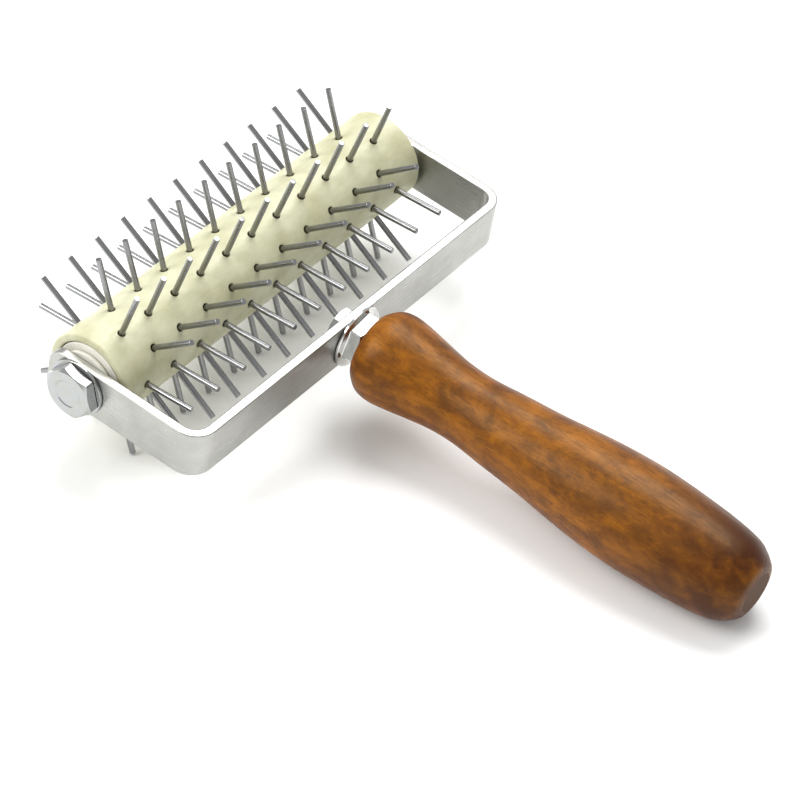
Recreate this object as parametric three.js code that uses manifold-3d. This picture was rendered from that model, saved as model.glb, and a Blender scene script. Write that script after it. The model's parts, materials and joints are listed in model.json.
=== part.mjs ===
// Uncapping roller: a drum set with steel pins that turns in a U-shaped flat-bar frame,
// held by a turned wooden handle. It is rolled over honeycomb to pierce the wax cappings.
//
// Millimetres, +Z up. The tool's own frame has X along the axle, the handle along -Y and its
// origin on the axle's middle. The finished group lies as the tool rests on a table: on two
// rows of pins and the butt of its handle. Its origin is the bottom centre of its bounding box.

import * as THREE from "three";
import { mergeVertices } from "three/addons/utils/BufferGeometryUtils.js";
import Module from "manifold-3d";

const wasm = await Module();
wasm.setup();

// ---------- driving dimensions ----------

const GAP = 0.15; // between two pieces that lie face to face
const LOOSE = 0.3; // between a piece and the hole or bore it sits in
const ROUND_SIDES = 28; // flats on small round pieces and bores
const OVERCUT = 2; // how far a cutter runs past what it cuts

// The frame is one flat bar bent into a U.
const FRAME_WIDTH = 125; // over the outer faces of its two arms
const BAR_HEIGHT = 13.5;
const BAR_THICKNESS = 2.5;
const BAR_EDGE = 0.3; // broken edges of the bar
const BEND_R = 6.5; // outside of each bend
const BACK_REACH = 37; // from the axle to the outer face of the back bar
const ARM_OVERRUN = 9.5; // from the axle to the free end of each arm
const ARM_CORNER_R = 4;

// The drum is a plastic tube, and its pins stand in rows along it.
const DRUM_R = 12.2;
const DRUM_BORE_R = 10.1;
const DRUM_LENGTH = 117;
const DRUM_SIDES = 30; // three flats to each row of pins
const ROW_COUNT = 10;
const LONG_ROW = 11; // pins in every other row
const SHORT_ROW = 10;
const PIN_PITCH = 10;
const PIN_SHIFT = -1; // the rows stand this far off the drum's middle
const PIN_R = 0.8;
const PIN_TIP_R = 26.5; // from the axle to the pins' ends
const PIN_HOLE_R = 1.2;
const STRIP_INNER = 8.6; // each row's backing strip, measured from the axle
const STRIP_OUTER = 9.6;
const STRIP_WIDTH = 3;
const STRIP_LENGTH = 104;

// Inside the drum: a sleeve that backs the strips, and a bush at each end that runs on the axle.
const CORE_OUTER_R = 8.3;
const CORE_INNER_R = 6.8;
const CORE_LENGTH = 105;
const BUSH_FLANGE = 4;
const BUSH_SPIGOT = 7;
const BUSH_BORE_R = 4.12;

// The axle is a hexagon bolt through both arms. Its end is screwed into the right arm.
const AXLE_R = 4;
const BOLT_ACROSS_FLATS = 13;
const BOLT_HEAD = 3;
const BOLT_TURN = THREE.MathUtils.degToRad(-18);
const BOLT_END_INSET = 0.3; // the bolt's end lies just inside the right arm's outer face
const WASHER_R = 7.8;
const WASHER_THICKNESS = 0.8;
const SPACER_R = 8;
const SPACER_THICKNESS = 1;

// The handle is held by a bolt through the back bar and a flanged nut against it.
const HANDLE_BOLT_R = 3;
const HANDLE_BOLT_HEAD = 3;
const HANDLE_BOLT_FLATS = 9;
const HANDLE_BOLT_DEPTH = 42; // inside the handle
const HANDLE_BOLT_POINT = 5; // length of the taper at its end
const HANDLE_BOLT_TIP_R = 0.6;
const FLANGE_R = 8.5;
const FLANGE_THICKNESS = 1;
const NUT_ACROSS_FLATS = 13;
const NUT_HEIGHT = 4.8; // with its flange
const NUT_TURN = THREE.MathUtils.degToRad(10);
const HANDLE_LENGTH = 116.3;
const HANDLE_FRONT_R = 8; // flat that meets the nut
const HANDLE_BUTT_R = 5.5; // flat end of the butt
const HANDLE_SIDES = 24;
const HANDLE_STEPS = 26; // straight steps along the turned outline

// The swell, waist and grip of the handle between its two flats: [radius, distance from the front].
const HANDLE_PROFILE = [
  [9.4, 0.4],
  [11.5, 3],
  [12.1, 7.5],
  [10.9, 15.5],
  [9.6, 24],
  [9.4, 32],
  [10.2, 41],
  [11.2, 53],
  [12.8, 67],
  [13.6, 81],
  [13.1, 95],
  [12.2, 105],
  [10.9, 111],
  [8.6, 114.6],
];

// Where the handle touches the table, measured from the axle, and its radius there.
const BUTT_CONTACT_REACH = 140;
const BUTT_CONTACT_R = 12.9;

const ARM_INNER = FRAME_WIDTH / 2 - BAR_THICKNESS;
const BOLT_SEAT = FRAME_WIDTH / 2 + WASHER_THICKNESS + 2 * GAP; // under the axle bolt's head
const HANDLE_START = BACK_REACH + GAP + NUT_HEIGHT + LOOSE;
const HALF_ROW_ANGLE = Math.PI / ROW_COUNT;
const AXLE_HEIGHT = PIN_TIP_R * Math.cos(HALF_ROW_ANGLE) + PIN_R * Math.sin(HALF_ROW_ANGLE);
const REST_TILT = Math.asin((AXLE_HEIGHT - BUTT_CONTACT_R) / BUTT_CONTACT_REACH);

// ---------- materials ----------

const finish = (color, roughness, metalness) => {
  return new THREE.MeshStandardMaterial({ color, roughness, metalness });
};
const satinSteel = () => finish(0xb9b9b4, 0.35, 1);
const pinSteel = () => finish(0xd0d2d3, 0.2, 1);
const zincPlate = () => finish(0xa7abb0, 0.3, 1);
const creamPlastic = () => finish(0xdcdabd, 0.45, 0);
const whitePlastic = () => finish(0xe4e2da, 0.5, 0);
const varnishedWood = () => finish(0xa8641c, 0.3, 0);

// ---------- shape helpers ----------

// A closed geometry as a solid that can be joined and cut.
function solidOf(geometry) {
  const bare = new THREE.BufferGeometry();
  bare.setAttribute("position", geometry.getAttribute("position"));
  bare.setIndex(geometry.index);
  const merged = mergeVertices(bare, 1e-4);
  const mesh = new wasm.Mesh({
    numProp: 3,
    vertProperties: merged.getAttribute("position").array,
    triVerts: new Uint32Array(merged.index.array),
  });
  return new wasm.Manifold(mesh);
}

// A solid as a geometry again.
function geometryOf(solid) {
  const mesh = solid.getMesh();
  const geometry = new THREE.BufferGeometry();
  geometry.setAttribute("position", new THREE.BufferAttribute(mesh.vertProperties, 3));
  geometry.setIndex(new THREE.BufferAttribute(mesh.triVerts, 1));
  geometry.computeVertexNormals();
  return geometry;
}

// A named mesh that is added to a group.
function place(group, name, geometry, material) {
  const mesh = new THREE.Mesh(geometry, material);
  mesh.name = name;
  group.add(mesh);
  return mesh;
}

// A profile of [radius, height] points turned about Y.
function turned(points, sides) {
  return new THREE.LatheGeometry(points.map(([r, y]) => new THREE.Vector2(r, y)), sides);
}

// A ring about X, from x = 0 to x = width.
function ring(innerR, outerR, width, sides) {
  const profile = [[innerR, 0], [outerR, 0], [outerR, width], [innerR, width], [innerR, 0]];
  return turned(profile, sides).rotateZ(-Math.PI / 2);
}

// A regular hexagonal prism about Y, from y = 0 to y = height.
function hexagon(acrossFlats, height) {
  const radius = acrossFlats / 2 / Math.cos(Math.PI / 6);
  return new THREE.CylinderGeometry(radius, radius, height, 6).translate(0, height / 2, 0);
}

// A hexagon whose corners are rounded off by a cone at its outer end, as on bolt heads and nuts.
function chamferedHexagon(acrossFlats, height) {
  const clearOfCorners = acrossFlats / 2 / Math.cos(Math.PI / 6) + 0.1;
  const faceR = acrossFlats / 2 - 0.2;
  const drop = (clearOfCorners - faceR) * Math.tan(Math.PI / 6);
  const cone = turned([
    [0, -OVERCUT], [clearOfCorners, -OVERCUT], [clearOfCorners, height - drop],
    [faceR, height], [0, height],
  ], ROUND_SIDES);
  return solidOf(hexagon(acrossFlats, height)).intersect(solidOf(cone));
}

// A round cutter for a hole through something this thick, along Y.
function drill(radius, thickness) {
  return new THREE.CylinderGeometry(radius, radius, thickness + 2 * OVERCUT, ROUND_SIDES);
}

// ---------- frame ----------

// The U seen from above. Both faces of the bar bend about the same two centres.
function frameOutline() {
  const bendX = FRAME_WIDTH / 2 - BEND_R;
  const bendY = BEND_R - BACK_REACH;
  const outerR = BEND_R - BAR_EDGE;
  const innerR = BEND_R - BAR_THICKNESS + BAR_EDGE;
  const front = ARM_OVERRUN - BAR_EDGE;
  const shape = new THREE.Shape();
  shape.moveTo(-bendX - outerR, front);
  shape.absarc(-bendX, bendY, outerR, Math.PI, 1.5 * Math.PI);
  shape.absarc(bendX, bendY, outerR, -0.5 * Math.PI, 0);
  shape.lineTo(bendX + outerR, front);
  shape.lineTo(bendX + innerR, front);
  shape.absarc(bendX, bendY, innerR, 0, -0.5 * Math.PI, true);
  shape.absarc(-bendX, bendY, innerR, 1.5 * Math.PI, Math.PI, true);
  shape.lineTo(-bendX - innerR, front);
  shape.closePath();
  return shape;
}

function makeFrame() {
  const bar = new THREE.ExtrudeGeometry(frameOutline(), {
    depth: BAR_HEIGHT - 2 * BAR_EDGE,
    bevelThickness: BAR_EDGE,
    bevelSize: BAR_EDGE,
    bevelSegments: 1,
    curveSegments: 6,
  });
  bar.translate(0, 0, BAR_EDGE - BAR_HEIGHT / 2);
  const holes = [
    drill(AXLE_R + LOOSE, FRAME_WIDTH).rotateZ(Math.PI / 2),
    drill(HANDLE_BOLT_R + LOOSE, BAR_THICKNESS).translate(0, BAR_THICKNESS / 2 - BACK_REACH, 0),
  ];
  let frame = solidOf(bar).intersect(solidOf(armEnds()));
  for (const hole of holes) {
    frame = frame.subtract(solidOf(hole));
  }
  return geometryOf(frame);
}

// The side view that rounds the corners of the arms' free ends, wider than the whole frame. It is
// taller than the bar everywhere but at the ends.
function armEnds() {
  const half = BAR_HEIGHT / 2;
  const back = -BACK_REACH - OVERCUT;
  const shape = new THREE.Shape();
  shape.moveTo(back, -half - OVERCUT);
  shape.lineTo(0, -half - OVERCUT);
  shape.lineTo(0, -half);
  shape.lineTo(ARM_OVERRUN - ARM_CORNER_R, -half);
  shape.absarc(ARM_OVERRUN - ARM_CORNER_R, ARM_CORNER_R - half, ARM_CORNER_R, -0.5 * Math.PI, 0);
  shape.absarc(ARM_OVERRUN - ARM_CORNER_R, half - ARM_CORNER_R, ARM_CORNER_R, 0, 0.5 * Math.PI);
  shape.lineTo(0, half);
  shape.lineTo(0, half + OVERCUT);
  shape.lineTo(back, half + OVERCUT);
  shape.closePath();
  const width = FRAME_WIDTH + 2 * OVERCUT;
  const profile = new THREE.ExtrudeGeometry(shape, {
    depth: width,
    bevelEnabled: false,
    curveSegments: 5,
  });
  profile.translate(0, 0, -width / 2);
  // The shape's own x becomes the frame's y, and its y becomes z.
  return profile.rotateX(Math.PI / 2).rotateZ(Math.PI / 2);
}

// ---------- axle ----------

// A hexagon bolt about Y: its head stands on y = 0 and its shank tapers over the last of its length.
function makeBolt(acrossFlats, headHeight, radius, length, taper, tipR) {
  const shank = turned([
    [0, -length], [tipR, -length], [radius, taper - length], [radius, headHeight / 2],
    [0, headHeight / 2],
  ], ROUND_SIDES);
  return geometryOf(chamferedHexagon(acrossFlats, headHeight).add(solidOf(shank)));
}

function addAxle(tool) {
  const length = BOLT_SEAT + FRAME_WIDTH / 2 - BOLT_END_INSET;
  const chamfer = 0.8;
  const bolt = makeBolt(BOLT_ACROSS_FLATS, BOLT_HEAD, AXLE_R, length, chamfer, AXLE_R - chamfer);
  bolt.rotateZ(Math.PI / 2).rotateX(BOLT_TURN);
  const washer = ring(AXLE_R + LOOSE, WASHER_R, WASHER_THICKNESS, ROUND_SIDES);
  const spacer = () => ring(AXLE_R + LOOSE, SPACER_R, SPACER_THICKNESS, ROUND_SIDES);
  const rightSpacerX = ARM_INNER - GAP - SPACER_THICKNESS;
  place(tool, "axle_bolt", bolt, zincPlate()).position.x = -BOLT_SEAT;
  place(tool, "axle_washer", washer, zincPlate()).position.x = GAP - BOLT_SEAT;
  place(tool, "side_spacer_left", spacer(), whitePlastic()).position.x = GAP - ARM_INNER;
  place(tool, "side_spacer_right", spacer(), whitePlastic()).position.x = rightSpacerX;
}

// ---------- roller ----------

// The angle of a row of pins about the axle, from +Y towards +Z.
const rowAngle = (row) => (row * 2 * Math.PI) / ROW_COUNT;
const pinsInRow = (row) => (row % 2 === 0 ? SHORT_ROW : LONG_ROW);

// The places along the axle of one row's pins.
function pinPlaces(row) {
  const count = pinsInRow(row);
  return Array.from({ length: count }, (_, i) => (i - (count - 1) / 2) * PIN_PITCH + PIN_SHIFT);
}

// A hexagonal rod that points along +Y, from y = start to y = end.
function rod(radius, start, end, x) {
  const geometry = new THREE.CylinderGeometry(radius, radius, end - start, 6, 1, false, Math.PI / 6);
  return geometry.translate(x, (start + end) / 2, 0);
}

// One row: a backing strip with its pins standing on it, pointing along +Y.
function makePinStrip(row) {
  const thickness = STRIP_OUTER - STRIP_INNER;
  const strip = new THREE.BoxGeometry(STRIP_LENGTH, thickness, STRIP_WIDTH);
  strip.translate(PIN_SHIFT, STRIP_INNER + thickness / 2, 0);
  let solid = solidOf(strip);
  for (const x of pinPlaces(row)) {
    solid = solid.add(solidOf(rod(PIN_R, STRIP_OUTER - thickness / 2, PIN_TIP_R, x)));
  }
  return geometryOf(solid);
}

function makeDrum() {
  // A flat of the drum faces each row, so its sides start half a flat off the first row.
  const half = Math.PI / DRUM_SIDES;
  const tube = ring(DRUM_BORE_R, DRUM_R / Math.cos(half), DRUM_LENGTH, DRUM_SIDES);
  tube.translate(-DRUM_LENGTH / 2, 0, 0).rotateX(half);
  let drum = solidOf(tube);
  for (let row = 0; row < ROW_COUNT; row += 1) {
    for (const x of pinPlaces(row)) {
      const hole = rod(PIN_HOLE_R, DRUM_BORE_R - OVERCUT, DRUM_R + OVERCUT, x);
      drum = drum.subtract(solidOf(hole.rotateX(rowAngle(row))));
    }
  }
  return geometryOf(drum);
}

// An end bush: a flange that closes the drum and a spigot inside the core sleeve.
function makeBush() {
  const flangeR = DRUM_BORE_R - LOOSE;
  const spigotR = CORE_INNER_R - LOOSE;
  const inward = BUSH_FLANGE + BUSH_SPIGOT;
  return turned([
    [BUSH_BORE_R, 0], [flangeR, 0], [flangeR, BUSH_FLANGE], [spigotR, BUSH_FLANGE],
    [spigotR, inward], [BUSH_BORE_R, inward], [BUSH_BORE_R, 0],
  ], ROUND_SIDES).rotateZ(-Math.PI / 2);
}

function makeRoller() {
  const roller = new THREE.Group();
  place(roller, "drum", makeDrum(), creamPlastic());
  const core = ring(CORE_INNER_R, CORE_OUTER_R, CORE_LENGTH, ROUND_SIDES);
  place(roller, "core_sleeve", core, whitePlastic()).position.x = -CORE_LENGTH / 2;
  place(roller, "end_bush_left", makeBush(), whitePlastic()).position.x = -DRUM_LENGTH / 2;
  const right = place(roller, "end_bush_right", makeBush(), whitePlastic());
  right.position.x = DRUM_LENGTH / 2;
  right.rotation.y = Math.PI;
  for (let row = 0; row < ROW_COUNT; row += 1) {
    const name = `pin_strip_${String(row + 1).padStart(2, "0")}`;
    place(roller, name, makePinStrip(row), pinSteel()).rotation.x = rowAngle(row);
  }
  return roller;
}

// ---------- handle ----------

// The turned outline, from the flat front to the flat butt, as [radius, distance from the front].
function handleOutline() {
  const body = new THREE.SplineCurve(HANDLE_PROFILE.map(([r, y]) => new THREE.Vector2(r, y)));
  const points = body.getPoints(HANDLE_STEPS).map((p) => [p.x, p.y]);
  return [[HANDLE_FRONT_R, 0], ...points, [HANDLE_BUTT_R, HANDLE_LENGTH]];
}

// The wood, with a blind hole for its bolt.
function makeHandle() {
  const holeR = HANDLE_BOLT_R + LOOSE;
  const depth = HANDLE_BOLT_DEPTH + OVERCUT;
  const outline = handleOutline();
  const profile = [[0, depth], [holeR, depth], [holeR, 0], ...outline, [0, HANDLE_LENGTH]];
  // Turned about Y towards +Y, then swung round to point along -Y.
  return turned(profile, HANDLE_SIDES).rotateX(Math.PI);
}


function makeFlangedNut() {
  const hex = chamferedHexagon(NUT_ACROSS_FLATS, NUT_HEIGHT);
  const topR = FLANGE_R - 1;
  const flange = turned([
    [0, 0], [FLANGE_R, 0], [FLANGE_R, FLANGE_THICKNESS / 2], [topR, FLANGE_THICKNESS],
    [0, FLANGE_THICKNESS],
  ], ROUND_SIDES);
  const bore = drill(HANDLE_BOLT_R + LOOSE, 2 * NUT_HEIGHT);
  const nut = hex.add(solidOf(flange)).subtract(solidOf(bore));
  return geometryOf(nut).rotateY(NUT_TURN).rotateX(Math.PI);
}

function addHandle(tool) {
  const seat = -BACK_REACH + BAR_THICKNESS + GAP;
  const length = HANDLE_START + seat + HANDLE_BOLT_DEPTH;
  const bolt = makeBolt(
    HANDLE_BOLT_FLATS, HANDLE_BOLT_HEAD, HANDLE_BOLT_R, length, HANDLE_BOLT_POINT, HANDLE_BOLT_TIP_R,
  );
  place(tool, "handle", makeHandle(), varnishedWood()).position.y = -HANDLE_START;
  place(tool, "handle_bolt", bolt, zincPlate()).position.y = seat;
  place(tool, "flanged_nut", makeFlangedNut(), zincPlate()).position.y = -BACK_REACH - GAP;
}

// ---------- the whole tool ----------

function makeTool() {
  const tool = new THREE.Group();
  place(tool, "u_frame", makeFrame(), satinSteel());
  addAxle(tool);
  addHandle(tool);
  // The roller has turned until two rows straddle the point straight below the axle.
  const roller = makeRoller();
  roller.rotation.x = -REST_TILT;
  tool.add(roller);
  return tool;
}

// The tool leans until its butt touches the table, then its middle is moved over the origin.
const uncappingRoller = new THREE.Group();
const tool = makeTool();
tool.rotation.x = REST_TILT;
const handleEnd = HANDLE_START + HANDLE_LENGTH;
const buttReach = handleEnd * Math.cos(REST_TILT) + HANDLE_BUTT_R * Math.sin(REST_TILT);
const sideShift = (BOLT_SEAT + BOLT_HEAD - FRAME_WIDTH / 2) / 2;
tool.position.set(sideShift, (buttReach - PIN_TIP_R) / 2, AXLE_HEIGHT);
uncappingRoller.add(tool);

export default uncappingRoller;
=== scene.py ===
"""Uncapping roller, the visual model: a plastic drum set with steel pins that turns in a bent
flat-bar frame with a turned and varnished wooden handle. Laid out as an add-on, run as a script."""

import json
import math
import random

import bmesh
import bpy
from bpy.props import FloatProperty, FloatVectorProperty, IntProperty, PointerProperty
from mathutils import Matrix, Vector


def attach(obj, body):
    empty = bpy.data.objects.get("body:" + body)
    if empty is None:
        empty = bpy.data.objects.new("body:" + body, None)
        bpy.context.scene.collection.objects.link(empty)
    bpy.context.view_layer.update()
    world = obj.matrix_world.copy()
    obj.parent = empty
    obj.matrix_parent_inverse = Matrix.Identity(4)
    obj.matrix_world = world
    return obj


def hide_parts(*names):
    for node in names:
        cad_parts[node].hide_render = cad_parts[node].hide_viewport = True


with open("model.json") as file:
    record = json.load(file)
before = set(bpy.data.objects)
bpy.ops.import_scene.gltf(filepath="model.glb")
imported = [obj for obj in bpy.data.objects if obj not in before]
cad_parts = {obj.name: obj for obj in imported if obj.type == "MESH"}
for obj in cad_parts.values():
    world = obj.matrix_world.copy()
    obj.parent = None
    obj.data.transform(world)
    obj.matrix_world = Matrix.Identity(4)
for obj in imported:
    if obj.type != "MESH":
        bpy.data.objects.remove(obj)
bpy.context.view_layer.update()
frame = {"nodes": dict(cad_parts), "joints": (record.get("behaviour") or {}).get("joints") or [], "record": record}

bl_info = {
    "name": "Uncapping Roller",
    "version": (1, 0, 0),
    "blender": (4, 5, 0),
    "location": "3D View > Sidebar > Roller",
    "description": "Builds a spiked uncapping roller with a flat-bar frame and a wooden handle",
    "category": "Add Mesh",
}

MM = 0.001
FULL_TURN = 2 * math.pi
X_AXIS = Vector((1, 0, 0))

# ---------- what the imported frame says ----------

SPIN = next(joint for joint in frame["joints"] if joint["name"] == "roller_spin")
AXLE = Vector(SPIN["pos_m"])
MOUNTS = {mount["name"]: mount for mount in frame["record"]["mounts"]}
BUTTWARD = Vector(MOUNTS["handle_butt_face"]["axis"]).normalized()
UPWARD = BUTTWARD.cross(X_AXIS)


def tool_matrix():
    """The tool's own axes at the axle's middle: X along the axle, Y away from the handle."""
    matrix = Matrix((X_AXIS, -BUTTWARD, UPWARD)).transposed().to_4x4()
    matrix.translation = AXLE
    return matrix


TOOL = tool_matrix()
ROLLER = Matrix.Translation(AXLE)


def span(node, direction):
    """The nearest and farthest distance from the axle's middle of a CAD node, along a direction."""
    along = [(vertex.co - AXLE).dot(direction) for vertex in frame["nodes"][node].data.vertices]
    return min(along), max(along)


def rings_of(node, direction):
    """The (distance, radius) of every ring of vertices of a turned CAD node about the tool's line."""
    found = set()
    for vertex in frame["nodes"][node].data.vertices:
        offset = vertex.co - AXLE
        along = offset.dot(direction)
        radius = (offset - along * direction).length
        found.add((round(along, 5), round(radius, 5)))
    return sorted(found)


# The rows' strips are centred on their pins.
PIN_SHIFT = sum(span("pin_strip_01", X_AXIS)) / 2


def outer_radius(node, direction):
    return max(radius for _, radius in rings_of(node, direction))


def inner_radius(node, direction):
    return min(radius for _, radius in rings_of(node, direction))


# ---------- colours ----------


def linear(hex_colour):
    """An sRGB hex colour as linear red, green and blue."""
    parts = [int(hex_colour[i:i + 2], 16) / 255 for i in (1, 3, 5)]
    return tuple(p / 12.92 if p <= 0.04045 else ((p + 0.055) / 1.055) ** 2.4 for p in parts)


def opaque(colour):
    return (*colour, 1)


# ---------- sizes and colours a user would change ----------


def length_property(name, description, default):
    return FloatProperty(
        name=name, description=description, default=default, min=0, unit="LENGTH", precision=5
    )


def number_property(name, description, default):
    return FloatProperty(name=name, description=description, default=default, min=0)


def angle_property(name, description, degrees):
    default = math.radians(degrees)
    return FloatProperty(name=name, description=description, default=default, subtype="ANGLE")


def colour_property(name, description, hex_colour):
    return FloatVectorProperty(
        name=name, description=description, default=linear(hex_colour), subtype="COLOR", min=0, max=1, size=3
    )


class BarFrameSettings(bpy.types.PropertyGroup):
    """Sizes and finish of the bent flat-bar frame."""

    half_width: length_property("Half width", "Middle to an arm's outer face", span("u_frame", X_AXIS)[1])
    bar_height: length_property("Bar height", "Width of the flat bar", 2 * span("u_frame", UPWARD)[1])
    thickness: length_property("Bar thickness", "Thickness of the flat bar", 2.5 * MM)
    back_reach: length_property("Back reach", "Axle to the back bar's face", span("u_frame", BUTTWARD)[1])
    overrun: length_property("Arm overrun", "Axle to the free end of an arm", -span("u_frame", BUTTWARD)[0])
    bend_radius: length_property("Bend radius", "Outside radius of both bends", 6.5 * MM)
    corner_radius: length_property("Corner radius", "Rounding of the arms' free ends", 4 * MM)
    edge_radius: length_property("Edge radius", "Softening of the rolled bar's edges", 0.4 * MM)
    steel: colour_property("Steel", "Satin steel of the bar", "#b6b6b2")


class RollerSettings(bpy.types.PropertyGroup):
    """Sizes and finish of the drum and its pins."""

    drum_radius: length_property("Drum radius", "Outside of the plastic drum", 12.2 * MM)
    bore_radius: length_property("Bore radius", "Bore of the drum", inner_radius("drum", X_AXIS))
    half_length: length_property("Half length", "Middle to either end of the drum", span("drum", X_AXIS)[1])
    pin_pitch: length_property("Pin pitch", "Spacing of the pins along a row", 10 * MM)
    pin_shift: FloatProperty(
        name="Pin shift", description="How far the rows stand off the drum's middle",
        default=PIN_SHIFT, unit="LENGTH",
    )
    pin_radius: length_property("Pin radius", "Half the thickness of the wire", 0.76 * MM)
    pin_reach: length_property("Pin reach", "Axle to the pins' ends", 26.45 * MM)
    hole_radius: length_property("Hole radius", "Hole in the drum round each pin", 0.98 * MM)
    rows: IntProperty(name="Rows", description="Rows of pins round the drum", default=10, min=1)
    plastic: colour_property("Plastic", "Cream plastic of the drum", "#cbcaac")
    plastic_shade: colour_property("Plastic shade", "Duller patches of the drum", "#b3b18c")
    wire: colour_property("Wire", "Bright steel of the pins", "#939495")
    nylon: colour_property("Nylon", "White nylon of the bushes and spacers", "#e6e3d8")


class FastenerSettings(bpy.types.PropertyGroup):
    """Sizes and finish of the bolts, nuts and washers."""

    axle_flats: length_property("Axle flats", "Across flats of the axle bolt's head", 13 * MM)
    axle_radius: length_property("Axle radius", "Radius of the axle bolt", 4 * MM)
    head_turn: angle_property("Head turn", "How far the axle bolt's head is turned", -12)
    handle_bolt_flats: length_property("Handle bolt flats", "Across flats of the handle bolt", 9 * MM)
    nut_flats: length_property("Flanged nut flats", "Across flats of the flanged nut", 13 * MM)
    shank_radius: length_property("Shank radius", "Radius of the handle's bolt", 3 * MM)
    thread_pitch: length_property("Thread pitch", "Pitch of the threads", 1 * MM)
    nut_turn: angle_property("Nut turn", "How far the flanged nut is turned from square", 10)
    zinc: colour_property("Zinc", "Zinc plate on bolts and washers", "#a9acaf")
    nickel: colour_property("Nickel", "Bright plate on the flanged nut", "#d2d2d0")


class HandleSettings(bpy.types.PropertyGroup):
    """Sizes and finish of the turned handle."""

    ring_spacing: length_property("Ring spacing", "Spacing of the wood's growth rings", 3.4 * MM)
    light_wood: colour_property("Light wood", "Early wood under the varnish", "#95590a")
    middle_wood: colour_property("Middle wood", "Ground colour of the varnished wood", "#774205")
    dark_wood: colour_property("Dark wood", "Late wood and stained patches", "#482203")
    palm_stain: colour_property("Palm stain", "Wood darkened by the hand towards the butt", "#3a1202")
    end_wood: colour_property("End wood", "Worn flat of the butt", "#4c2d14")


class StageSettings(bpy.types.PropertyGroup):
    """Camera, lights and floor."""

    azimuth: angle_property("Azimuth", "Camera's direction round the tool", -56.27)
    elevation: angle_property("Elevation", "Camera's height above the floor", 41.87)
    roll: angle_property("Roll", "Camera's turn about its own axis", 5.16)
    distance: length_property("Distance", "Camera to the point it looks at", 1.017)
    lens: number_property("Lens", "Focal length in millimetres", 182.2)
    aim: FloatVectorProperty(
        name="Aim", description="Point the camera looks at, from the axle's middle",
        default=(0.00665, -0.04735, -0.02315), subtype="XYZ", unit="LENGTH",
    )
    floor: colour_property("Floor", "Pale floor", "#fafaf9")
    key_power: number_property("Key light", "Power of the high soft light, in watts", 15)
    side_power: number_property("Side light", "Power of the low soft light, in watts", 11)
    sky: number_property("Sky", "Strength of the even light all round", 0.65)


# ---------- mesh helpers ----------


def keep_flats(piece):
    """Keeps flat faces flat under smooth shading."""
    weighted = piece.modifiers.new("flat faces stay flat", "WEIGHTED_NORMAL")
    weighted.keep_sharp = True


def finish_mesh(name, shape, matrix, materials, sharp_degrees=32):
    """A smooth-shaded object from a bmesh, with its creases kept and its flat faces truly flat.
    The tool's lean goes into the mesh, so that the object's own box stays upright."""
    if matrix == TOOL:
        bmesh.ops.transform(shape, matrix=TOOL, verts=shape.verts)
        matrix = Matrix.Identity(4)
    bmesh.ops.recalc_face_normals(shape, faces=shape.faces)
    limit = math.radians(sharp_degrees)
    for edge in shape.edges:
        edge.smooth = len(edge.link_faces) == 2 and edge.calc_face_angle() < limit
    for face in shape.faces:
        face.smooth = True
    mesh = bpy.data.meshes.new(name)
    shape.to_mesh(mesh)
    shape.free()
    for material in materials:
        mesh.materials.append(material)
    piece = bpy.data.objects.new(name, mesh)
    bpy.context.scene.collection.objects.link(piece)
    piece.matrix_world = matrix
    keep_flats(piece)
    return piece


def settle(piece, body, slot, *nodes):
    """The piece moves with its body and stands for CAD nodes, which it hides. The slot is not used."""
    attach(piece, body)
    if nodes:
        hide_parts(*nodes)
    return piece


def add_quads(shape, first, second, closed=False):
    """Faces between two lists of vertices. Corners that coincide are left out."""
    count = len(first)
    for i in range(count if closed else count - 1):
        j = (i + 1) % count
        corners = list(dict.fromkeys((first[i], first[j], second[j], second[i])))
        if len(corners) > 2:
            shape.faces.new(corners)


def add_tube(shape, loops):
    """Faces between each closed loop of vertices and the next."""
    for first, second in zip(loops, loops[1:]):
        add_quads(shape, first, second, closed=True)


def about_x(along, radius, angle):
    """The place at a distance along X, and at a radius and an angle about it."""
    return along, radius * math.cos(angle), radius * math.sin(angle)


def revolve(shape, profile_at, sides, closed=False):
    """Turns a profile about local X. profile_at(angle) lists (distance, radius) pairs, as many at
    each angle, and a radius of nothing is one shared point. closed joins the last to the first."""
    poles = {}
    columns = []
    for k in range(sides):
        angle = FULL_TURN * k / sides
        column = []
        for i, (along, radius) in enumerate(profile_at(angle)):
            if radius > 0:
                column.append(shape.verts.new(about_x(along, radius, angle)))
            else:
                if i not in poles:
                    poles[i] = shape.verts.new((along, 0, 0))
                column.append(poles[i])
        columns.append(column)
    for k in range(sides):
        add_quads(shape, columns[k], columns[(k + 1) % sides], closed)


def softened(points, radius, steps=3, closed=True):
    """A profile whose corners are rounded off by a radius."""
    result = []
    count = len(points)
    for i, corner in enumerate(points):
        ends = not closed and i in (0, count - 1)
        here = Vector(corner)
        back = Vector(points[i - 1]) - here
        ahead = Vector(points[(i + 1) % count]) - here
        if ends or radius <= 0:
            result.append(tuple(here))
            continue
        reach = min(radius, back.length / 2.2, ahead.length / 2.2)
        start = here + back.normalized() * reach
        end = here + ahead.normalized() * reach
        for step in range(steps + 1):
            t = step / steps
            point = start.lerp(here, t).lerp(here.lerp(end, t), t)
            result.append(tuple(point))
    return result


def through_points(points, per_span):
    """A smooth curve through points."""
    result = []
    count = len(points)
    for i in range(count - 1):
        before = Vector(points[max(i - 1, 0)])
        start = Vector(points[i])
        end = Vector(points[i + 1])
        after = Vector(points[min(i + 2, count - 1)])
        for step in range(per_span):
            t = step / per_span
            bend = (end - before) / 2
            leave = (after - start) / 2
            a = 2 * t ** 3 - 3 * t ** 2 + 1
            b = t ** 3 - 2 * t ** 2 + t
            c = t ** 3 - t ** 2
            result.append(tuple(a * start + b * bend + (1 - a) * end + c * leave))
    result.append(tuple(points[-1]))
    return result


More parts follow.
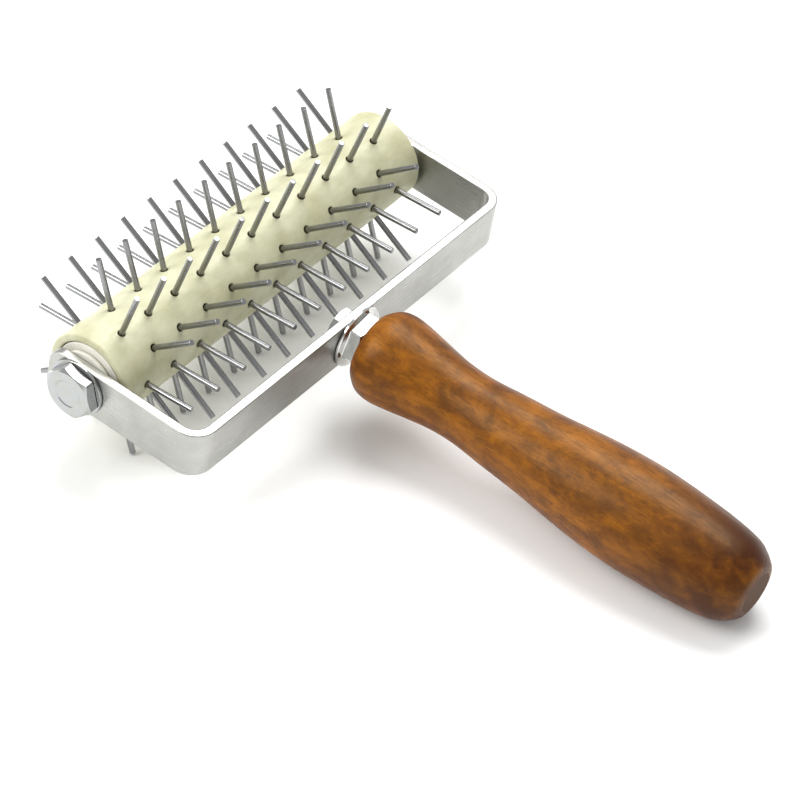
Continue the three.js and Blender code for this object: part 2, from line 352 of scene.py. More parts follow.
def turned_piece(name, profile, matrix, materials, sides=72, closed=True):
    shape = bmesh.new()
    revolve(shape, lambda _: profile, sides, closed)
    return finish_mesh(name, shape, matrix, materials)


def plain_ring(name, node, rounding, material):
    """A washer or spacer of its CAD node's own size, its edges rounded."""
    low, high = span(node, X_AXIS)
    bore, rim = inner_radius(node, X_AXIS), outer_radius(node, X_AXIS)
    profile = softened([(low, bore), (low, rim), (high, rim), (high, bore)], rounding)
    return turned_piece(name, profile, TOOL, [material])


def cut_away(piece, cutters):
    """Cuts closed cutter objects out of a piece, and removes them."""
    piece.modifiers.clear()
    for cutter in cutters:
        cut = piece.modifiers.new("cut", "BOOLEAN")
        cut.operation = "DIFFERENCE"
        cut.solver = "EXACT"
        cut.object = cutter
    bpy.context.view_layer.update()
    evaluated = piece.evaluated_get(bpy.context.evaluated_depsgraph_get())
    cut_mesh = bpy.data.meshes.new_from_object(evaluated)
    piece.modifiers.clear()
    piece.data = cut_mesh
    for cutter in cutters:
        bpy.data.objects.remove(cutter)
    keep_flats(piece)


# ---------- material helpers ----------


def add(tree, kind, inputs=None, **settings):
    """Adds a shader node: its own settings, and its sockets as values or links."""
    made = tree.nodes.new(kind)
    for key, value in settings.items():
        setattr(made, key, value)
    for key, value in (inputs or {}).items():
        if isinstance(value, bpy.types.NodeSocket):
            tree.links.new(value, made.inputs[key])
        else:
            made.inputs[key].default_value = value
    return made


def start_material(name, **shader):
    """A material with one principled shader. Underscores in the keywords stand for spaces."""
    material = bpy.data.materials.new(name)
    material.use_nodes = True
    tree = material.node_tree
    principled = tree.nodes["Principled BSDF"]
    for key, value in shader.items():
        principled.inputs[key.replace("_", " ")].default_value = value
    return material, tree, principled


def link(tree, output, principled, socket):
    tree.links.new(output, principled.inputs[socket])


def per_metre(millimetres):
    """The texture scale, in metres, whose features are about this size."""
    return 1 / (millimetres * MM)


def ring_scale(spacing):
    """The wave texture's scale that gives rings this far apart, in metres."""
    return FULL_TURN / 20 / spacing


def noise_along(tree, source, stretch, size, detail=2.0, roughness=0.5, distortion=0.0):
    """Noise with features of a size in millimetres, drawn out along axes whose stretch is under one."""
    placed = add(tree, "ShaderNodeMapping", {"Vector": source, "Scale": stretch})
    noise = add(
        tree,
        "ShaderNodeTexNoise",
        {
            "Vector": placed.outputs["Vector"],
            "Scale": per_metre(size),
            "Detail": detail,
            "Roughness": roughness,
            "Distortion": distortion,
        },
    )
    return noise.outputs["Fac"]


def ranged(tree, value, low, high, from_low=0.0, from_high=1.0):
    """A value spread over another range."""
    made = add(
        tree,
        "ShaderNodeMapRange",
        {"Value": value, "From Min": from_low, "From Max": from_high, "To Min": low, "To Max": high},
    )
    return made.outputs["Result"]


def mixed(tree, factor, first, second):
    """Two colours mixed by a factor. The mix node's colours are its sockets 6 and 7, and its result 2."""
    return add(tree, "ShaderNodeMix", {0: factor, 6: first, 7: second}, data_type="RGBA").outputs[2]


def combined(tree, operation, first, second):
    """Two values added or multiplied."""
    return add(tree, "ShaderNodeMath", {0: first, 1: second}, operation=operation).outputs[0]


def bumped(tree, height, depth_mm, below=None):
    """A surface raised by a height of so many millimetres, over another bump if there is one."""
    inputs = {"Height": height, "Distance": depth_mm * MM, "Strength": 1.0}
    if below is not None:
        inputs["Normal"] = below
    return add(tree, "ShaderNodeBump", inputs).outputs["Normal"]


def object_coordinates(tree):
    return add(tree, "ShaderNodeTexCoord").outputs["Object"]


def growth_rings(tree, source, spacing, tilt=(0, 0, 0), **wave):
    """Growth rings in wood, as a value. Underscores in the keywords stand for spaces."""
    placed = {"Vector": source, "Location": HEART, "Rotation": tilt}
    heart = add(tree, "ShaderNodeMapping", placed).outputs["Vector"]
    inputs = {"Vector": heart, "Scale": ring_scale(spacing)}
    inputs.update({key.replace("_", " "): value for key, value in wave.items()})
    made = add(tree, "ShaderNodeTexWave", inputs, wave_type="RINGS", rings_direction="Y")
    return made.outputs["Fac"]


def tool_coordinates(tree):
    """Coordinates along the leaning tool's own axes, from the axle's middle."""
    place, turn, _ = TOOL.decompose()
    inputs = {"Vector": object_coordinates(tree), "Location": place, "Rotation": turn.to_euler()}
    return add(tree, "ShaderNodeMapping", inputs, vector_type="TEXTURE").outputs["Vector"]


# ---------- materials ----------

# The growth rings' centre, 19 mm off the handle's own, so that the swell cuts the rings in ovals.
HEART = (4 * MM, 0, 19 * MM)
# The reflection of amber varnish: most in the red, least in the blue.
AMBER_TINT = (1.0, 0.74, 0.38, 1)


def satin_flat_bar():
    """Cold-rolled flat bar with a linished satin face: fine scratches run along the bar and spread
    its highlights across it, and cloudy patches dull it."""
    settings = bpy.context.scene.roller_bar_frame
    steel = settings.steel
    material, tree, shader = start_material("satin cold-rolled steel", Metallic=1.0, Roughness=0.3)
    along = add(tree, "ShaderNodeUVMap", uv_map="along_bar").outputs["UV"]
    # Scratches 0.25 mm wide and some 15 mm long: coarser than real linishing, so that they show.
    scratches = noise_along(tree, along, (0.017, 1, 1), 0.25, detail=3)
    clouds = noise_along(tree, object_coordinates(tree), (1, 1, 1), 9, detail=3, roughness=0.6)
    tone = mixed(tree, ranged(tree, clouds, 0, 1, 0.35, 0.65), opaque(steel), opaque(c * 0.86 for c in steel))
    toned = mixed(tree, ranged(tree, scratches, 0, 0.5, 0.4, 0.62), tone, opaque(c * 0.78 for c in steel))
    link(tree, toned, shader, "Base Color")
    scratched = ranged(tree, scratches, 0.0, 0.16, 0.35, 0.65)
    clouded = ranged(tree, clouds, 0.2, 0.3, 0.35, 0.65)
    link(tree, combined(tree, "ADD", scratched, clouded), shader, "Roughness")
    link(tree, bumped(tree, scratches, 0.012), shader, "Normal")
    return material


def zinc_plated():
    """Zinc-plated and clear-passivated steel: a cool, slightly mottled shine with a fine crystal
    grain and faint dull patches."""
    zinc = bpy.context.scene.roller_fasteners.zinc
    material, tree, shader = start_material("zinc-plated steel", Metallic=1.0, Roughness=0.26)
    source = object_coordinates(tree)
    patches = noise_along(tree, source, (1, 1, 1), 2.6, detail=4, roughness=0.6)
    crystals = noise_along(tree, source, (1, 1, 1), 0.3, detail=1)
    warm = (zinc[0], zinc[1] * 0.97, zinc[2] * 0.88)
    toned = mixed(tree, ranged(tree, patches, 0, 1, 0.35, 0.65), opaque(zinc), opaque(warm))
    link(tree, toned, shader, "Base Color")
    link(tree, ranged(tree, patches, 0.13, 0.28, 0.3, 0.7), shader, "Roughness")
    link(tree, bumped(tree, crystals, 0.006), shader, "Normal")
    return material


def bright_plated():
    """Nickel-plated steel, polished before plating: near-mirror facets that turn black or white
    with what they face, and a light wiping haze."""
    nickel = bpy.context.scene.roller_fasteners.nickel
    material, tree, shader = start_material("bright nickel-plated steel", Metallic=1.0, Roughness=0.12)
    source = object_coordinates(tree)
    haze = noise_along(tree, source, (1, 1, 1), 3, detail=3)
    toned = mixed(tree, ranged(tree, haze, 0, 1, 0.4, 0.7), opaque(nickel), opaque(c * 0.82 for c in nickel))
    link(tree, toned, shader, "Base Color")
    link(tree, ranged(tree, haze, 0.07, 0.2, 0.35, 0.7), shader, "Roughness")
    link(tree, bumped(tree, haze, 0.01), shader, "Normal")
    return material


def drawn_wire():
    """Bright drawn steel wire, with draw lines along each pin, and painted shade towards the drum:
    the wire is darkened and browned in patches at the pins' roots, and is clean towards the tip."""
    wire = bpy.context.scene.roller_drum.wire
    material, tree, shader = start_material("bright drawn steel wire", Metallic=1.0, Roughness=0.2)
    source = object_coordinates(tree)
    # Draw lines 0.2 mm apart, wider than real ones so that they show on wire this thin.
    lines = noise_along(tree, source, (1, 0.04, 1), 0.2, detail=2)
    shade_and_roughness_patches = noise_along(tree, source, (1, 0.5, 1), 1.6, detail=3, roughness=0.6)
    # Painted shade: the wire is darkened and browned in patches near the drum, where the pins' roots sit in shade.
    height = add(tree, "ShaderNodeSeparateXYZ", {"Vector": source}).outputs["Y"]
    foot = ranged(tree, height, 0.75, 0.1, 12.2 * MM, 21 * MM)
    root_shade = combined(tree, "MULTIPLY", foot, shade_and_roughness_patches)
    # The colour of the painted shade: the wire darkened and browned.
    dull = tuple(c * s for c, s in zip(wire, (0.5, 0.45, 0.38)))
    link(tree, mixed(tree, root_shade, opaque(wire), opaque(dull)), shader, "Base Color")
    link(tree, ranged(tree, shade_and_roughness_patches, 0.14, 0.3, 0.3, 0.7), shader, "Roughness")
    link(tree, bumped(tree, lines, 0.01), shader, "Normal")
    return material


def cream_plastic():
    """Moulded and machined cream plastic: a soft waxy sheen, light that sinks in a little, faint
    turning marks round the drum and duller, yellower patches from use."""
    settings = bpy.context.scene.roller_drum
    material, tree, shader = start_material(
        "moulded cream polypropylene",
        Roughness=0.42, IOR=1.49,
        Subsurface_Weight=0.12, Subsurface_Radius=(1.0, 0.9, 0.55), Subsurface_Scale=1.2 * MM,
    )
    source = object_coordinates(tree)
    patches = noise_along(tree, source, (0.6, 1, 1), 7, detail=4, roughness=0.6)
    turning = noise_along(tree, source, (1, 0.03, 0.03), 0.35, detail=2)
    grain = noise_along(tree, source, (1, 1, 1), 0.5, detail=2)
    plastic, shade = settings.plastic, settings.plastic_shade
    toned = mixed(tree, ranged(tree, patches, 0, 1, 0.36, 0.66), opaque(plastic), opaque(shade))
    specks = noise_along(tree, source, (1, 1, 1), 1.1, detail=3, roughness=0.7)
    grime = tuple(c * s for c, s in zip(shade, (0.62, 0.58, 0.42)))
    toned = mixed(tree, ranged(tree, specks, 0, 0.4, 0.62, 0.8), toned, opaque(grime))
    link(tree, toned, shader, "Base Color")
    link(tree, ranged(tree, patches, 0.34, 0.52, 0.3, 0.7), shader, "Roughness")
    below = bumped(tree, grain, 0.01)
    link(tree, bumped(tree, turning, 0.008, below=below), shader, "Normal")
    return material


def white_nylon():
    """Turned white nylon: nearly matt, faintly translucent, with fine turning rings."""
    nylon = bpy.context.scene.roller_drum.nylon
    material, tree, shader = start_material(
        "turned white nylon",
        Roughness=0.5, IOR=1.53,
        Subsurface_Weight=0.15, Subsurface_Radius=(1.0, 0.95, 0.9), Subsurface_Scale=0.8 * MM,
    )
    source = object_coordinates(tree)
    patches = noise_along(tree, source, (1, 1, 1), 3, detail=3)
    rings = noise_along(tree, source, (1, 0.05, 0.05), 0.3)
    shade = opaque(c * 0.88 for c in nylon)
    toned = mixed(tree, ranged(tree, patches, 0, 1, 0.35, 0.7), opaque(nylon), shade)
    link(tree, toned, shader, "Base Color")
    link(tree, ranged(tree, patches, 0.42, 0.58), shader, "Roughness")
    link(tree, bumped(tree, rings, 0.012), shader, "Normal")
    return material


def varnished_hardwood():
    """Turned hardwood, stained amber and brush-varnished: soft growth rings that open into ovals on
    the swell of the grip, dark pores along the grain, mottling where the stain took unevenly, a
    reddish brown butt, and a thin clear coat that ripples slightly."""
    settings = bpy.context.scene.roller_handle
    light, middle, dark = settings.light_wood, settings.middle_wood, settings.dark_wood
    material, tree, shader = start_material(
        "varnished turned hardwood",
        Roughness=0.45, IOR=1.5, Specular_IOR_Level=0.35, Specular_Tint=AMBER_TINT,
        Coat_Weight=0.07, Coat_Roughness=0.22, Coat_IOR=1.5, Coat_Tint=(1.0, 0.93, 0.8, 1),
    )
    source = tool_coordinates(tree)
    # The grain runs a little askew of the handle.
    tilt = (math.radians(2.2), 0, math.radians(-1.5))
    rings = growth_rings(
        tree, source, settings.ring_spacing, tilt,
        Distortion=3.2, Detail=3.0, Detail_Scale=0.35, Detail_Roughness=0.6,
    )
    fibres = noise_along(tree, source, (1, 0.05, 1), 0.5, detail=4, roughness=0.6)
    pores = noise_along(tree, source, (1, 0.06, 1), 0.28, detail=1)
    blotches = noise_along(tree, source, (1, 0.6, 1), 5, detail=6, roughness=0.68, distortion=0.4)
    streaks = noise_along(tree, source, (1, 0.16, 1), 2.4, detail=4, roughness=0.6, distortion=0.4)
    early = tuple(0.6 * a + 0.4 * b for a, b in zip(middle, light))
    ground = mixed(tree, rings, opaque(early), opaque(middle))
    ground = mixed(tree, ranged(tree, streaks, 0, 0.45, 0.46, 0.72), ground, opaque(dark))
    ground = mixed(tree, ranged(tree, blotches, 0, 0.75, 0.47, 0.64), ground, opaque(dark))
    ground = mixed(tree, ranged(tree, blotches, 0.7, 0, 0.34, 0.46), ground, opaque(light))
    # The palm has darkened the wood towards the butt, in uneven reddish patches.
    reach = add(tree, "ShaderNodeSeparateXYZ", {"Vector": source}).outputs["Y"]
    worn = ranged(tree, reach, 0, 1, -122 * MM, -150 * MM)
    palm = noise_along(tree, source, (1, 0.7, 1), 9, detail=4, roughness=0.6)
    held = combined(tree, "MULTIPLY", worn, ranged(tree, palm, 0.3, 1, 0.34, 0.54))
    ground = mixed(tree, held, ground, opaque(settings.palm_stain))
    ground = mixed(tree, ranged(tree, fibres, 0, 0.45, 0.5, 0.75), ground, opaque(c * 0.8 for c in dark))
    ground = mixed(tree, ranged(tree, pores, 0, 0.6, 0.66, 0.74), ground, opaque(c * 0.45 for c in dark))
    link(tree, ground, shader, "Base Color")
    link(tree, ranged(tree, fibres, 0.36, 0.56, 0.3, 0.7), shader, "Roughness")
    link(tree, bumped(tree, fibres, 0.012), shader, "Normal")
    ripple = noise_along(tree, source, (1, 0.35, 1), 4.5, detail=2)
    link(tree, bumped(tree, ripple, 0.05), shader, "Coat Normal")
    return material


def worn_end_grain():
    """The butt's flat, rubbed down to dull end grain: a browner disc with close arcs and dark pores."""
    settings = bpy.context.scene.roller_handle
    material, tree, shader = start_material(
        "worn hardwood end grain",
        Roughness=0.6, IOR=1.5, Specular_IOR_Level=0.25, Specular_Tint=AMBER_TINT,
    )
    source = tool_coordinates(tree)
    arcs = growth_rings(tree, source, 1.3 * MM, Distortion=1.2, Detail=2.0)
    pores = noise_along(tree, source, (1, 1, 1), 0.35, detail=2)
    shade = opaque(c * 0.62 for c in settings.end_wood)
    toned = mixed(tree, ranged(tree, arcs, 0.0, 0.8), opaque(settings.end_wood), shade)
    toned = mixed(tree, ranged(tree, pores, 0, 0.7, 0.58, 0.7), toned, opaque(settings.dark_wood))
    link(tree, toned, shader, "Base Color")
    link(tree, ranged(tree, pores, 0.48, 0.66), shader, "Roughness")
    link(tree, bumped(tree, pores, 0.03), shader, "Normal")
    return material


def matt_floor():
    """Seamless matt paper under the tool, with a faint tooth."""
    floor = bpy.context.scene.roller_stage.floor
    material, tree, shader = start_material("matt white paper", Roughness=0.9)
    tooth = noise_along(tree, object_coordinates(tree), (1, 1, 1), 2)
    toned = mixed(tree, ranged(tree, tooth, 0, 1), opaque(floor), opaque(c * 0.985 for c in floor))
    link(tree, toned, shader, "Base Color")
    return material


def shared(builder):
    """The material that a builder makes, made once."""
    if builder.__name__ not in MADE:
        MADE[builder.__name__] = builder()
    return MADE[builder.__name__]


MADE = {}

# ---------- bar frame ----------


def bar_stations(s):
    """Where the bar's section stands along the U: a point on its middle line, the way outwards and
    half its height there. The arms' free ends shrink to rounded corners."""
    middle = s.half_width - s.thickness / 2
    bend_middle = s.bend_radius - s.thickness / 2
    bend_x = s.half_width - s.bend_radius
    bend_y = s.bend_radius - s.back_reach
    half = s.bar_height / 2
    arm = []
    for step in range(8):
        angle = math.pi / 2 * step / 7
        inset = s.corner_radius * (1 - math.sin(angle))
        drop = s.corner_radius * (1 - math.cos(angle))
        arm.append((s.overrun - drop, half - inset))
    arm_run = s.overrun - s.corner_radius - bend_y
    arm += [(s.overrun - s.corner_radius - arm_run * k / 6, half) for k in range(1, 6)]
    left = [(Vector((-middle, y, 0)), Vector((-1, 0, 0)), h) for y, h in arm]
    bends = []
    steps = 16
    for step in range(steps + 1):
        angle = math.pi + math.pi / 2 * step / steps
        out = Vector((math.cos(angle), math.sin(angle), 0))
        bends.append((Vector((-bend_x, bend_y, 0)) + out * bend_middle, out, half))
    back_y = -s.back_reach + s.thickness / 2
    back = [(Vector((bend_x * k / 5, back_y, 0)), Vector((0, -1, 0)), half) for k in range(-4, 1)]
    left_half = left + bends + back
    flip = Matrix.Diagonal((-1, 1, 1))
    right_half = [(flip @ place, flip @ out, h) for place, out, h in reversed(left_half[:-1])]
    return left_half + right_half


def bar_section(s, place, out, half):
    """The bar's rounded section at one station, as points round it."""
    corners = [
        (-s.thickness / 2, -half),
        (s.thickness / 2, -half),
        (s.thickness / 2, half),
        (-s.thickness / 2, half),
    ]
    return [place + out * across + Vector((0, 0, up)) for across, up in softened(corners, s.edge_radius)]


class UNCAPPING_OT_bar_frame(bpy.types.Operator):
    """Builds the frame: flat bar bent into a U, with its axle holes and the handle's hole"""

    bl_idname = "uncapping.bar_frame"
    bl_label = "Bar Frame"

    def execute(self, context):
        s = context.scene.roller_bar_frame
        shape = bmesh.new()
        layer = shape.loops.layers.uv.new("along_bar")
        rings = []
        travel = 0.0
        previous = None
        for place, out, half in bar_stations(s):
            if previous is not None:
                travel += (place - previous).length
            previous = place
            points = bar_section(s, place, out, half)
            rings.append((travel, [shape.verts.new(point) for point in points]))
        around = [0.0]
        first = bar_section(s, Vector((0, 0, 0)), X_AXIS, s.bar_height / 2)
        for i in range(len(first)):
            around.append(around[-1] + (first[(i + 1) % len(first)] - first[i]).length)
        for (travel_a, ring_a), (travel_b, ring_b) in zip(rings, rings[1:]):
            for i in range(len(ring_a)):
                j = (i + 1) % len(ring_a)
                face = shape.faces.new((ring_a[i], ring_a[j], ring_b[j], ring_b[i]))
                low, high = around[i], around[i + 1]
                spots = ((travel_a, low), (travel_a, high), (travel_b, high), (travel_b, low))
                for loop, spot in zip(face.loops, spots):
                    loop[layer].uv = spot
        shape.faces.new(list(reversed(rings[0][1])))
        shape.faces.new(rings[-1][1])
        piece = finish_mesh("flat_bar_frame", shape, TOOL, [shared(satin_flat_bar)], 50)
        axle_hole = inner_radius("side_spacer_left", X_AXIS)
        handle_hole = inner_radius("flanged_nut", BUTTWARD)
        reach = s.thickness * 2
        cutters = []
        for centre, turn, hole in (
            (Vector((-s.half_width, 0, 0)), 0, axle_hole),
            (Vector((s.half_width, 0, 0)), 0, axle_hole),
            (Vector((0, -s.back_reach, 0)), math.pi / 2, handle_hole),
        ):
            matrix = TOOL @ Matrix.Translation(centre) @ Matrix.Rotation(turn, 4, "Z")
            profile = [(-reach, 0), (-reach, hole), (reach, hole), (reach, 0)]
            cutters.append(turned_piece("hole_cutter", profile, matrix, [], 48, closed=False))
        cut_away(piece, cutters)
        settle(piece, "frame", "frame_steel", "u_frame")
        return {"FINISHED"}


# ---------- drum ----------

GRID_STEP = 1.25 * MM  # spacing of the drum's mesh along the axle
GRID_ROUND = 80  # mesh steps round the drum
HALF_BLOCK = 2  # mesh steps from a hole's middle to the edge of its patch
END_MARGIN = 0.4 * MM  # left free of the grid at the drum's ends
END_ROUNDING = 0.5 * MM
# A moulded lip: how far a hole is widened, and how deep its edge has sunk there, in two steps.
LIP = ((1.36, 0.0), (1.12, 0.07 * MM), (1.0, 0.28 * MM))


def pin_places(s, row):
    """The places along the axle of one row's pins: ten or eleven, by turns."""
    count = 10 if row % 2 == 0 else 11
    return [s.pin_shift + (i - (count - 1) / 2) * s.pin_pitch for i in range(count)]


def patch_edge():
    """The mesh steps round a hole's square patch, starting on its +X side."""
    n = HALF_BLOCK
    side = [(n, k) for k in range(0, n + 1)]
    side += [(k, n) for k in range(n - 1, -n - 1, -1)]
    side += [(-n, k) for k in range(n - 1, -n - 1, -1)]
    side += [(k, -n) for k in range(-n + 1, n + 1)]
    side += [(n, k) for k in range(-n + 1, 0)]
    return side


def drum_skin(shape, s, radius, holes, first, last):
    """One skin of the drum as a grid of vertices, from its first column to its last, with a square
    patch left out round each hole."""
    hidden = set()
    for column, ring in holes:
        for i in range(-HALF_BLOCK + 1, HALF_BLOCK):
            for j in range(-HALF_BLOCK + 1, HALF_BLOCK):
                hidden.add((column + i, (ring + j) % GRID_ROUND))
    grid = {}
    for column in range(first, last + 1):
        for ring in range(GRID_ROUND):
            if (column, ring) not in hidden:
                along = s.pin_shift + column * GRID_STEP
                place = about_x(along, radius, FULL_TURN * ring / GRID_ROUND)
                grid[column, ring] = shape.verts.new(place)
    for column in range(first, last):
        for ring in range(GRID_ROUND):
            after = (ring + 1) % GRID_ROUND
            keys = ((column, ring), (column + 1, ring), (column + 1, after), (column, after))
            if all(key in grid for key in keys):
                shape.faces.new([grid[key] for key in keys])
    return grid


def hole_ring(shape, s, centre, angle, hole_radius, skin_radius, depth):
    """The vertices of a circle round a pin, lying a depth under a skin of the drum."""
    out = Vector((0, math.cos(angle), math.sin(angle)))
    side = Vector((0, -math.sin(angle), math.cos(angle)))
    count = 8 * HALF_BLOCK
    vertices = []
    for k in range(count):
        turn = FULL_TURN * k / count
        across = hole_radius * math.sin(turn)
        height = math.sqrt(skin_radius ** 2 - across ** 2) - depth
        place = X_AXIS * (centre + hole_radius * math.cos(turn)) + side * across + out * height
        vertices.append(shape.verts.new(place))
    return vertices


class UNCAPPING_OT_drum(bpy.types.Operator):
    """Builds the drum: a plastic tube with softened ends and a lipped hole for each pin"""

    bl_idname = "uncapping.drum"
    bl_label = "Drum"

    def execute(self, context):
        s = context.scene.roller_drum
        shape = bmesh.new()
        steps_per_row = GRID_ROUND // s.rows
        holes = []
        for row in range(s.rows):
            for place in pin_places(s, row):
                holes.append((round((place - s.pin_shift) / GRID_STEP), row * steps_per_row))
        straight = s.half_length - END_MARGIN
        left_end = -int((straight + s.pin_shift) / GRID_STEP)
        right_end = int((straight - s.pin_shift) / GRID_STEP)
        outer = drum_skin(shape, s, s.drum_radius, holes, left_end, right_end)
        inner = drum_skin(shape, s, s.bore_radius, holes, left_end, right_end)
        for column, ring in holes:
            angle = FULL_TURN * ring / GRID_ROUND
            centre = s.pin_shift + column * GRID_STEP
            edge = [(column + i, (ring + j) % GRID_ROUND) for i, j in patch_edge()]
            loops = [[outer[key] for key in edge]]
            for widen, sink in LIP:
                radius = s.hole_radius * widen
                loops.append(hole_ring(shape, s, centre, angle, radius, s.drum_radius, sink))
            loops.append(hole_ring(shape, s, centre, angle, s.hole_radius, s.bore_radius, 0))
            loops.append([inner[key] for key in edge])
            add_tube(shape, loops)
        for column, face in ((left_end, -s.half_length), (right_end, s.half_length)):
            start = s.pin_shift + column * GRID_STEP
            corners = [(face, s.drum_radius), (face, s.bore_radius)]
            end = [(start, s.drum_radius), *corners, (start, s.bore_radius)]
            rounded = softened(end, END_ROUNDING, steps=4, closed=False)[1:-1]
            loops = [[outer[column, ring] for ring in range(GRID_ROUND)]]
            for along, radius in rounded:
                places = [about_x(along, radius, FULL_TURN * ring / GRID_ROUND) for ring in range(GRID_ROUND)]
                loops.append([shape.verts.new(place) for place in places])
            loops.append([inner[column, ring] for ring in range(GRID_ROUND)])
            add_tube(shape, loops)
        piece = finish_mesh("cream_drum", shape, ROLLER, [shared(cream_plastic)], 40)
        settle(piece, "roller", "cream_plastic", "drum")
        return {"FINISHED"}


# ---------- pins ----------

PIN_SIDES = 16
LEAN = 0.16 * MM  # the most that a pin's end strays along or across its row
SHORT = 0.2 * MM  # the most that a pin falls short
CROP_SLANT = 0.1  # the steepest slant of a cropped end
STRIP_THICKNESS = 1 * MM
STRIP_HALF_WIDTH = 1.5 * MM
FOOT_GAP = 0.02 * MM  # keeps the pins' feet off the strip's face


def add_wire(shape, s, along, foot, draw):
    """One pin standing along local Y: round wire, cropped off a little out of square, with a
    broken edge. Each leans and varies by a hair."""
    lean_x, lean_z = draw.uniform(-LEAN, LEAN), draw.uniform(-LEAN, LEAN)
    reach = s.pin_reach - draw.uniform(0, SHORT)
    slant, turn = draw.uniform(0, CROP_SLANT), draw.uniform(0, FULL_TURN)
    shaft = [(foot, 1.0), (reach * 0.5, 1.0), (reach - 0.14 * MM, 1.0)]
    broken_edge = [(reach - 0.04 * MM, 0.93), (reach, 0.76)]
    loops = []
    for height, narrow in shaft + broken_edge:
        share = max(0.0, (height - s.drum_radius) / (s.pin_reach - s.drum_radius))
        loop = []
        for k in range(PIN_SIDES):
            angle = FULL_TURN * k / PIN_SIDES
            radius = s.pin_radius * narrow
            tilt = slant * (math.cos(angle - turn) - 1) * radius if height > reach * 0.9 else 0.0
            x = along + lean_x * share + radius * math.cos(angle)
            z = lean_z * share + radius * math.sin(angle)
            loop.append(shape.verts.new((x, height + tilt, z)))
        loops.append(loop)
    add_tube(shape, loops)
    shape.faces.new(loops[0])
    shape.faces.new(loops[-1])


def add_strip(shape, low, high, start, end, half_width):
    """The backing strip that a row of pins stands on, with softened long edges."""
    corners = [(low, -half_width), (high, -half_width), (high, half_width), (low, half_width)]
    section = softened(corners, 0.2 * MM)
    loops = [[shape.verts.new((along, y, z)) for y, z in section] for along in (start, end)]
    add_tube(shape, loops)
    for loop in loops:
        shape.faces.new(loop)


class UNCAPPING_OT_pins(bpy.types.Operator):
    """Builds the ten rows of pins: cropped round wire on a backing strip inside the drum"""

    bl_idname = "uncapping.pins"
    bl_label = "Pins"

    def execute(self, context):
        s = context.scene.roller_drum
        draw = random.Random(11)
        for row in range(s.rows):
            node = f"pin_strip_{row + 1:02d}"
            turn = FULL_TURN * row / s.rows
            outward = Vector((0, math.cos(turn), math.sin(turn)))
            low = span(node, outward)[0]
            start, end = span(node, X_AXIS)
            shape = bmesh.new()
            add_strip(shape, low, low + STRIP_THICKNESS, start, end, STRIP_HALF_WIDTH)
            for along in pin_places(s, row):
                add_wire(shape, s, along, low + STRIP_THICKNESS + FOOT_GAP, draw)
            matrix = ROLLER @ Matrix.Rotation(turn, 4, "X")
            piece = finish_mesh(f"pin_row_{row + 1:02d}", shape, matrix, [shared(drawn_wire)], 25)
            settle(piece, "roller", "pin_steel", node)
        return {"FINISHED"}


# ---------- bushes, sleeve and spacers ----------


class UNCAPPING_OT_bearings(bpy.types.Operator):
    """Builds the nylon end bushes and side spacers, and finishes the hidden core sleeve"""

    bl_idname = "uncapping.bearings"
    bl_label = "Bushes and Spacers"

    def execute(self, context):
        nylon = shared(white_nylon)
        for side, sign in (("left", -1), ("right", 1)):
            node = f"end_bush_{side}"
            face = max(abs(end) for end in span(node, X_AXIS))
            tail = min(abs(end) for end in span(node, X_AXIS))
            flange, bore = outer_radius(node, X_AXIS), inner_radius(node, X_AXIS)
            spigot = sorted({radius for _, radius in rings_of(node, X_AXIS)})[1]
            shoulder = sorted({round(abs(along), 5) for along, _ in rings_of(node, X_AXIS)})[1]
            head = [(face, bore), (face, flange), (shoulder, flange)]
            body = [(shoulder, spigot), (tail, spigot), (tail, bore)]
            profile = [(sign * along, radius) for along, radius in softened(head + body, 0.3 * MM)]
            piece = turned_piece(f"nylon_bush_{side}", profile, ROLLER, [nylon])
            settle(piece, "roller", "white_nylon", node)
            node = f"side_spacer_{side}"
            piece = plain_ring(f"nylon_spacer_{side}", node, 0.25 * MM, nylon)
            settle(piece, "frame", "white_nylon", node)
        sleeve = frame["nodes"]["core_sleeve"]
        sleeve.data.materials.clear()
        sleeve.data.materials.append(nylon)
        return {"FINISHED"}


# ---------- bolts, nuts and washers ----------

HEX_SIDES = 96
CORNER_EASE = 0.12 * MM  # taken off a hexagon's corners
FACE_INSET = 0.25 * MM  # from the flats to the turned outer face
CHAMFER_SLOPE = 0.58  # a chamfer of 30 degrees
SEAT_GAP = 0.15 * MM  # keeps a head's seat off what it bears on
AXLE_THREAD = 5 * MM
HANDLE_THREAD = 34 * MM


def hex_radius(across_flats, angle, turn):
    """The distance to a hexagon's side, its corners eased off."""
    flat = across_flats / 2
    sector = math.pi / 3
    offset = (angle - turn) % sector - sector / 2
    return min(flat / math.cos(offset), flat / math.cos(math.pi / 6) - CORNER_EASE)


def hex_edge(side, height, face_radius):
    """How high a hexagon's side runs before the turned chamfer of its outer face cuts it off."""
    return height - CHAMFER_SLOPE * max(0.0, side - face_radius)


def headed_bolt(name, across_flats, head, turn, shank_radius, length, pitch, threaded, matrix, materials):
    """A hexagon bolt along local X: the head on +X, its shank towards -X with a thread at its end."""
    face = across_flats / 2 - FACE_INSET
    grooves = [(-length, 0), (-length, shank_radius * 0.74)]
    crest = -length + 0.6 * MM
    while crest < -length + threaded:
        grooves += [
            (crest, shank_radius),
            (crest + pitch * 0.15, shank_radius),
            (crest + pitch * 0.5, shank_radius - pitch * 0.45),
            (crest + pitch * 0.85, shank_radius),
        ]
        crest += pitch
    dish = face * 0.62

    def profile_at(angle):
        side = hex_radius(across_flats, angle, turn)
        return grooves + [
            (0, shank_radius),
            (0, side),
            (hex_edge(side, head, face), side),
            (head, face),
            (head, face - 0.35 * MM),
            (head, dish),
            (head - 0.18 * MM, dish - 0.3 * MM),
            (head - 0.2 * MM, 0),
        ]

    shape = bmesh.new()
    revolve(shape, profile_at, HEX_SIDES)
    bmesh.ops.transform(shape, matrix=matrix, verts=shape.verts)
    return finish_mesh(name, shape, TOOL, materials, 14)


